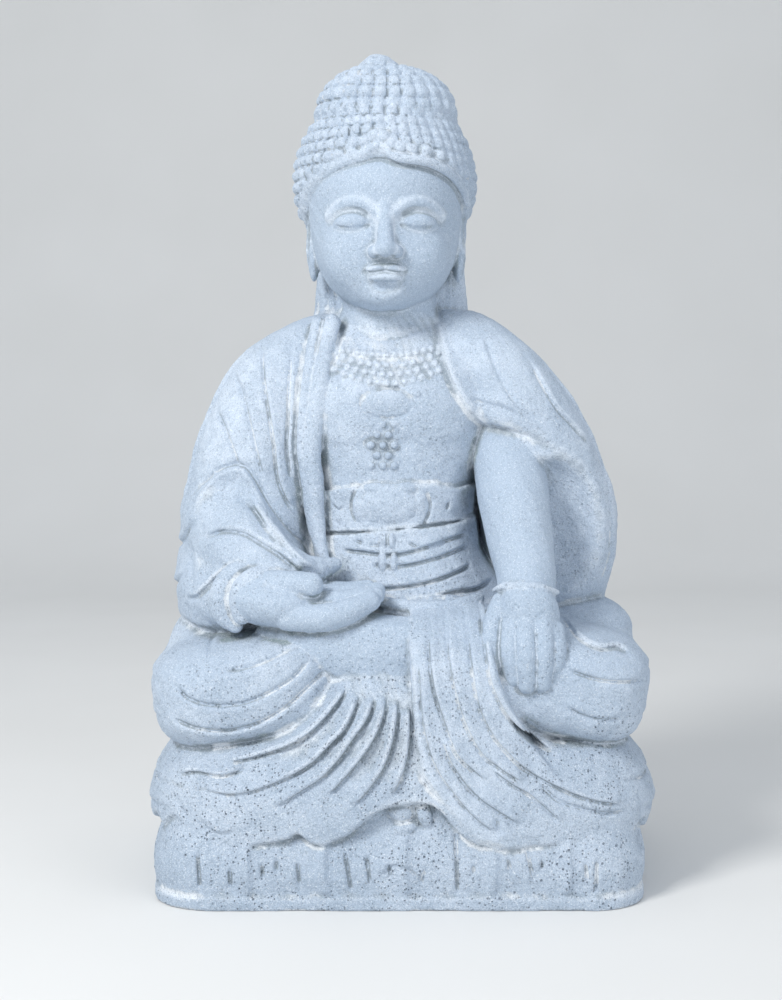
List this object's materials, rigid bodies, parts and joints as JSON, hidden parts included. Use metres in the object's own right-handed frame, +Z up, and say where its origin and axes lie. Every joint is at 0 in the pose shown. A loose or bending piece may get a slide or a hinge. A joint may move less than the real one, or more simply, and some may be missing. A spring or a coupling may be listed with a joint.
{
  "type": "seated buddha statue",
  "caption": "Cast-stone garden figure seated cross-legged in a draped robe on a carved petal base, one palm up and one hand on the knee, with steel rods cast inside.",
  "frame": {"origin": "centre of the base's underside, on the ground", "axes": "+Z up, the figure faces -Y, its own left side is at +X"},
  "size_m": [0.3584, 0.268, 0.6],
  "materials": {
    "cast_stone": "pale blue-grey cast stone, matte, finely pitted, with lime bloom in the creases",
    "smooth_stone": "the same cast stone where it is smoother, on skin",
    "weathered_stone": "the same cast stone near the ground, darker and more heavily pitted",
    "reinforcement_steel": "mild steel rod as rolled"
  },
  "bodies": {
    "root": {"spine_rod": "reinforcement_steel", "left_arm_rod": "reinforcement_steel", "right_arm_rod": "reinforcement_steel", "plinth_slab": "weathered_stone", "rock_base": "weathered_stone", "base_petals": "weathered_stone", "left_forearm": "smooth_stone", "left_bracelet": "cast_stone", "left_hand": "smooth_stone", "right_hand": "smooth_stone", "right_foot": "smooth_stone", "center_drape": "cast_stone", "hem_knot": "weathered_stone", "lower_robe_right": "weathered_stone", "lower_robe_left": "weathered_stone", "right_knee": "cast_stone", "left_knee": "cast_stone", "seat_back": "cast_stone", "belt_buckle": "cast_stone", "sash_knot": "cast_stone", "pendant": "cast_stone", "trunk": "cast_stone", "belt_band": "cast_stone", "waist_sash": "cast_stone", "necklace_beads": "cast_stone", "pendant_tassel": "cast_stone", "right_ear": "smooth_stone", "left_ear": "smooth_stone", "head": "smooth_stone", "topknot_tip": "cast_stone", "topknot": "cast_stone", "hair_cap": "cast_stone", "hair_curls": "cast_stone", "neck": "smooth_stone", "hair_fall": "cast_stone", "right_lapel": "cast_stone", "right_cuff": "cast_stone", "right_sleeve": "cast_stone", "left_shawl": "cast_stone", "left_cape": "cast_stone", "back_robe": "cast_stone"}
  },
  "joints": []
}
